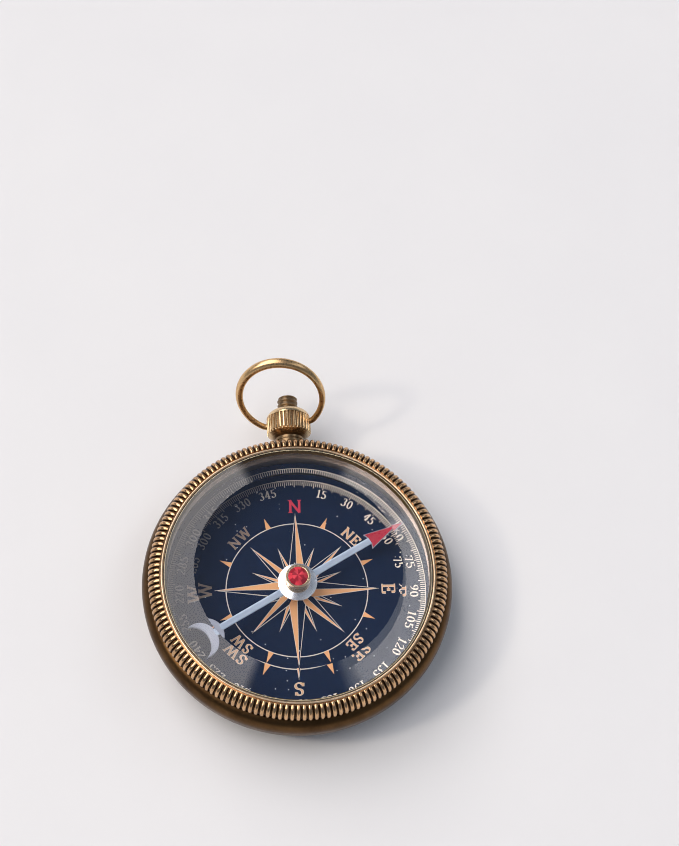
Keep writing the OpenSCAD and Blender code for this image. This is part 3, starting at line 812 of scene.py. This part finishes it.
def blade(bag, left, right, low, edge, top):
    corners, faces = bag
    first, last, sides = len(corners), len(left) - 1, 6
    for (lx, ly), (rx, ry) in zip(left, right):
        dx, dy = chamfer_share * (rx - lx), chamfer_share * (ry - ly)
        corners += [(lx, ly, low), (rx, ry, low), (rx, ry, edge), (rx - dx, ry - dy, top),
                    (lx + dx, ly + dy, top), (lx, ly, edge)]
    for i in range(last):
        here = first + sides * i
        for k in range(sides):
            after = (k + 1) % sides
            faces.append([here + k, here + after, here + sides + after, here + sides + k][::-1])
    faces.append([first + k for k in range(sides)])
    faces.append([first + sides * last + k for k in reversed(range(sides))])


def inset(outline, margin):
    """The outline drawn in by a margin: each side moves inward and meets its neighbours again."""
    count, moved = len(outline), []
    for i in range(count):
        before, here, after = (Vector(outline[(i + k) % count]) for k in (-1, 0, 1))
        a, b = (here - before).normalized(), (after - here).normalized()
        normal_a, normal_b = Vector((-a.y, a.x)), Vector((-b.y, b.x))
        half = (normal_a + normal_b) / 2
        moved.append(tuple(here + half * margin / half.length_squared))
    return moved


print("a blade's flat top is", round(1 - 2 * chamfer_share, 2), "of its width")

# %% [markdown]
# The bar and the crescent are blades. The arrow head is a flat white plate, with red enamel laid inside a
# narrow margin. All are drawn along one line from the middle and turned together, as the print is, so a
# single angle sets the needle.

# %% Needle
needle_turn = 60.8
bar_w, tail_r, tip_r = 1.15, 14.85, 20.0
arrow_l, arrow_w, barb_share = 5.9, 2.9, 0.2
crescent_r, crescent_t, horn_blunt_share = 3.0, 1.55, 0.006
hub_hole_r, hub_ring_lift = 1.6, 0.02
enamel_margin, enamel_proud, enamel_t = 0.08, 0.03, 0.04
ground_share = 0.75
tail_overlap, head_overlap = 0.3, 0.05
needle_low, needle_high = (corner.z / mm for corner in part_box("needle"))
ground_z = needle_low + ground_share * (needle_high - needle_low)
arrow_from = tip_r - arrow_l
notch = arrow_from + (arrow_w - bar_w) * barb_share


def straight_bar():
    """The bar in two halves, and the ring between them that the hub sits in."""
    bag = ([], [])
    for start, end in ((-tail_r - tail_overlap, -hub_hole_r), (hub_hole_r, notch + head_overlap)):
        left, right = (on_dial([(x, start), (x, end)], needle_turn) for x in (-bar_w / 2, bar_w / 2))
        blade(bag, left, right, needle_low, ground_z, needle_high)
    ring(bag, hub_hole_r, hub_hole_r + bar_w / 2, needle_low, ground_z + hub_ring_lift, steps=64)
    return bag


def crescent():
    """Between two equal circles, one a little behind the other, to just short of where they meet."""
    bag = ([], [])
    horn = math.degrees(math.asin(crescent_t / 2 / crescent_r))
    edges = []
    for back, turn in ((0, -horn), (crescent_t, horn)):
        blunt = horn_blunt_share * (180 - 2 * turn)
        centre, start, end = -tail_r - crescent_r - back, turn + blunt, 180 - turn - blunt
        points = arc(0, centre, crescent_r, crescent_r, start, end, steps=36)
        edges.append(on_dial(points[::-1], needle_turn))
    blade(bag, *edges, needle_low, ground_z, needle_high)
    return bag


def arrow_head():
    """The white plate, and the red enamel inside its margin."""
    plate = [(bar_w / 2, notch), (arrow_w / 2, arrow_from), (0, tip_r), (-arrow_w / 2, arrow_from),
             (-bar_w / 2, notch)]
    white, red = ([], []), ([], [])
    prism(white, on_dial(plate, needle_turn), needle_low, needle_high - enamel_proud)
    inner = inset(plate, enamel_margin)
    prism(red, on_dial(inner, needle_turn), needle_high - enamel_t, needle_high)
    return white, red


needle_tail = crescent()
needle_head, needle_red = arrow_head()
bar_piece = piece("needle_bar", straight_bar(), steel, "needle")
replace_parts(bar_piece, "needle")
piece("needle_crescent", needle_tail, inks["white"], "needle")
piece("needle_head", needle_head, inks["white"], "needle")
piece("needle_head_enamel", needle_red, inks["red"], "needle")
print("needle from", round(needle_low, 2), "to", round(needle_high, 2), "mm")

# %% [markdown]
# Turned parts come off a lathe, and so does this one: an outline in a half plane is spun round an axis. The
# cap over the needle's pivot has two cut grooves and a rolled rim. The screw modifier would spin it too,
# but the few lines of the loop show what it does.


# %% Turned cap
def spin(outline, steps):
    """Spins an outline of radius and height that begins and ends on the axis."""
    inner = outline[1:-1]
    corners, faces = [(0, 0, outline[0][1])], []
    for i in range(steps):
        angle = 2 * math.pi * i / steps
        corners += [(r * math.cos(angle), r * math.sin(angle), z) for r, z in inner]
    corners.append((0, 0, outline[-1][1]))
    top, rows = len(corners) - 1, len(inner)
    for i in range(steps):
        here, there = 1 + rows * i, 1 + rows * ((i + 1) % steps)
        faces.append([0, there, here])
        faces += [[here + k, there + k, there + k + 1, here + k + 1] for k in range(rows - 1)]
        faces.append([here + rows - 1, there + rows - 1, top])
    return corners, faces


cup_low, cup_high = (corner.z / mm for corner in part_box("jewel_cup"))
cup_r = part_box("jewel_cup")[1].x / mm
seat_depth, bore_depth, cap_rim_w = 0.65, 0.95, 0.45
stone_seat_z, bore_top, stone_r = cup_high - seat_depth, cup_high - bore_depth, cup_r - cap_rim_w
bore_r, neck_r, skirt_depth = 1.3, 1.6, 0.45
groove_depths, groove_w, groove_cut = (1.75, 1.05), 0.22, 0.13
rim_round, rim_bulge_share = 0.08, 0.3


def turned_cup():
    skirt_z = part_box("needle_hub")[1].z / mm - skirt_depth
    outline = [(0, bore_top), (bore_r, bore_top), (bore_r, cup_low), (neck_r, cup_low), (neck_r, skirt_z),
               (cup_r, skirt_z)]
    floor_r = cup_r - groove_cut
    for depth in groove_depths:
        z = cup_high - depth
        outline += [(cup_r, z - groove_w), (floor_r, z - groove_w / 2), (floor_r, z + groove_w / 2),
                    (cup_r, z + groove_w)]
    soft = rim_bulge_share * rim_round
    outline += [(cup_r, cup_high - rim_round), (cup_r - soft, cup_high - soft), (cup_r - rim_round, cup_high),
                (stone_r + rim_round, cup_high), (stone_r + soft, cup_high - soft),
                (stone_r, cup_high - rim_round), (stone_r, stone_seat_z), (0, stone_seat_z)]
    return spin(outline, steps=96)


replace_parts(piece("pivot_cap", turned_cup(), brasses["cap"], "needle"), "jewel_cup")
print("cap from", round(cup_low, 2), "to", round(cup_high, 2), "mm")

# %% [markdown]
# The stone in the cap is cut and not turned, so its few corners are set one by one and its faces stay flat.
# A rose cut has a round girdle, a ring of triangles above it, and eight facets that meet in a point.

# %% Cut stone
girdle_inset, table_share, table_drop = 0.05, 0.60, 0.12


def cut_stone(facets=8):
    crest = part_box("cap_stone")[1].z / mm
    girdle = 2 * facets
    rings = [(girdle, stone_r, stone_seat_z), (girdle, stone_r, cup_high - girdle_inset),
             (facets, table_share * stone_r, crest - table_drop)]
    corners = []
    for count, radius, height in rings:
        for i in range(count):
            turn = 2 * math.pi * i / count
            corners.append((radius * math.cos(turn), radius * math.sin(turn), height))
    corners.append((0, 0, crest))
    faces = [list(reversed(range(girdle)))]
    for i in range(girdle):
        after = (i + 1) % girdle
        faces.append([i, after, girdle + after, girdle + i])
    table = 2 * girdle
    for k in range(facets):
        here, half, there = girdle + 2 * k, girdle + 2 * k + 1, girdle + (2 * k + 2) % girdle
        inner, next_inner = table + k, table + (k + 1) % facets
        faces += [[here, half, inner], [half, there, next_inner], [half, next_inner, inner]]
        faces.append([inner, next_inner, table + facets])
    return corners, faces


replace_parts(piece("cut_stone", cut_stone(), red_stone, "needle"), "cap_stone")

# %% [markdown]
# The lip of the bezel is rolled over, which leaves a fine bead round the glass. It is the brightest line on
# the case, because its round back finds a lamp wherever it is seen from. A bevelled curve could draw it;
# here a half ellipse goes round the lip, sunk a little so that no gap shows.

# %% Bead of the lip
lip_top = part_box("bezel")[1].z / mm
bead_r, bead_w, bead_h, bead_sunk = 22.66, 0.32, 0.11, 0.02


def lip_bead(steps=360, sides=8):
    corners, faces = [], []
    for i in range(steps):
        turn = 2 * math.pi * i / steps
        for k in range(sides + 1):
            angle = math.pi * k / sides
            radius = bead_r + bead_w / 2 * math.cos(angle)
            height = lip_top - bead_sunk + bead_h * math.sin(angle)
            corners.append((radius * math.cos(turn), radius * math.sin(turn), height))
    row = sides + 1
    for i in range(steps):
        here, there = i * row, (i + 1) % steps * row
        for k in range(row):
            faces.append([here + k, there + k, there + (k + 1) % row, here + (k + 1) % row])
    return corners, faces


piece("lip_bead", lip_bead(), brasses["bead"], "case", True)
print("bead on the lip at", round(lip_top, 2), "mm")

# %% [markdown]
# The stud's end shows two turns of real thread. A boolean cut with a helix often leaves stray faces. But a
# thread is also a lathe outline whose radius depends on the angle: the groove climbs one pitch a turn. A
# fine grid follows that rule, and the groove fades out at the crown.

# %% Threaded stud
stud_low, stud_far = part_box("pendant_stud")
stud_r, stud_from, stud_to = stud_far.x / mm, stud_low.y / mm, stud_far.y / mm
pendant_z = (stud_low.z + stud_far.z) / 2 / mm
crown_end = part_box("crown")[1].y / mm
pitch, thread_depth, chamfer = 0.8, 0.3, 0.25
thread_fade, flank_steepness = 0.2, 1.25
inside_crown, fine = 0.25, 0.05


def threaded_stud():
    corners, faces = [], []
    columns = 72
    grid_from = crown_end - inside_crown
    rows = [stud_from, grid_from - fine]
    rows += [grid_from + fine * i for i in range(int((stud_to - grid_from) / fine))] + [stud_to]
    for y in rows:
        for c in range(columns):
            turn = c / columns
            wave = abs(((y - crown_end) / pitch - turn) % 1.0 * 2 - 1)
            begun = min(1.0, max(0.0, (y - crown_end) / thread_fade))
            groove = thread_depth * begun * max(0.0, 1.0 - flank_steepness * wave)
            radius = min(stud_r - groove, stud_r - chamfer + (stud_to - y))
            angle = 2 * math.pi * turn
            corners.append((radius * math.cos(angle), y, radius * math.sin(angle) + pendant_z))
    for r in range(len(rows) - 1):
        for c in range(columns):
            here, there = r * columns + c, r * columns + (c + 1) % columns
            faces.append([here, here + columns, there + columns, there])
    faces.append(list(range(columns)))
    faces.append([(len(rows) - 1) * columns + c for c in reversed(range(columns))])
    return corners, faces


stud_piece = piece("threaded_stud", threaded_stud(), brasses["stud"], "case", True)
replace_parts(stud_piece, "pendant_stud")
print("thread from", round(crown_end, 2), "to", round(stud_to, 2), "mm, pitch", pitch)

# %% [markdown]
# The bow is a wire bent to a round and drawn thinner towards its ends, which turn in the crown's sides. A
# curve with a bevel and a taper would make such a tube, but its rings can twist in the elbows. So the
# centre line comes first: a pin, an elbow, the round, and the other elbow and pin. It lies in a plane, and
# each ring of the tube stands on the plane's normal and the line's own.

# %% Bow
bow_joint = next(joint for joint in frame["joints"] if joint["name"] == "bow_swing")
bow_lift = math.radians(60.7)
bow_r, bow_end_r, bow_wire_r = 7.17, 0.525, 0.85
bow_end_x, bow_pin_l, elbow_l = 4.1, 1.7, 0.55
taper_from, taper_to = 105, 15  # degrees from the far side of the round
elbow_steps, round_steps = 8, 90


def bow_line():
    """Points in the bow's plane, across and outward, each with the wire's radius there."""
    opening = math.asin(bow_end_x / bow_r)
    reach = bow_r * math.cos(opening)
    far = 180 - math.degrees(opening)
    elbow = (bow_end_x, 0)
    start_turn = math.radians(far) - elbow_l / bow_r
    half = [((bow_end_x - bow_pin_l, 0), bow_end_r), ((bow_end_x - elbow_l, 0), bow_end_r)]
    after = (bow_r * math.sin(start_turn), reach + bow_r * math.cos(start_turn))
    for i in range(1, elbow_steps):
        share = i / elbow_steps
        weights = ((1 - share) ** 2, 2 * share * (1 - share), share ** 2)
        half.append((tuple(weights[0] * a + weights[1] * b + weights[2] * c
                           for a, b, c in zip(half[1][0], elbow, after)), bow_end_r))
    for i in range(round_steps + 1):
        turn = start_turn * (1 - i / round_steps)
        share = min(1.0, max(0.0, (taper_from - math.degrees(turn)) / (taper_from - taper_to)))
        radius = bow_end_r + (bow_wire_r - bow_end_r) * share
        half.append(((bow_r * math.sin(turn), reach + bow_r * math.cos(turn)), radius))
    return half + [((-x, y), radius) for (x, y), radius in reversed(half[:-1])]


def bow_wire(sides=28):
    place = Vector(bow_joint["pos_m"]) / mm
    across = Vector(bow_joint["axis"]).normalized()
    over = across.cross(Vector((0, 1, 0)))
    outward = math.cos(bow_lift) * Vector((0, 1, 0)) + math.sin(bow_lift) * over
    normal = across.cross(outward)
    line_points = bow_line()
    corners, faces = [], []
    for i, ((x, y), radius) in enumerate(line_points):
        before, after = line_points[max(i - 1, 0)][0], line_points[min(i + 1, len(line_points) - 1)][0]
        run = Vector((after[0] - before[0], after[1] - before[1])).normalized()
        side = run.y * across - run.x * outward
        for k in range(sides):
            angle = 2 * math.pi * k / sides
            ring_place = math.cos(angle) * side + math.sin(angle) * normal
            corners.append(tuple(place + x * across + y * outward + radius * ring_place))
    for i in range(len(line_points) - 1):
        for k in range(sides):
            here, there = i * sides + k, i * sides + (k + 1) % sides
            faces.append([here, there, there + sides, here + sides])
    faces.append(list(reversed(range(sides))))
    faces.append([len(corners) - sides + k for k in range(sides)])
    return corners, faces


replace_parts(piece("bow_wire", bow_wire(), brasses["bow"], "bow", True), "bow")
print("bow", round(2 * max(x + radius for (x, y), radius in bow_line()), 1), "mm across")
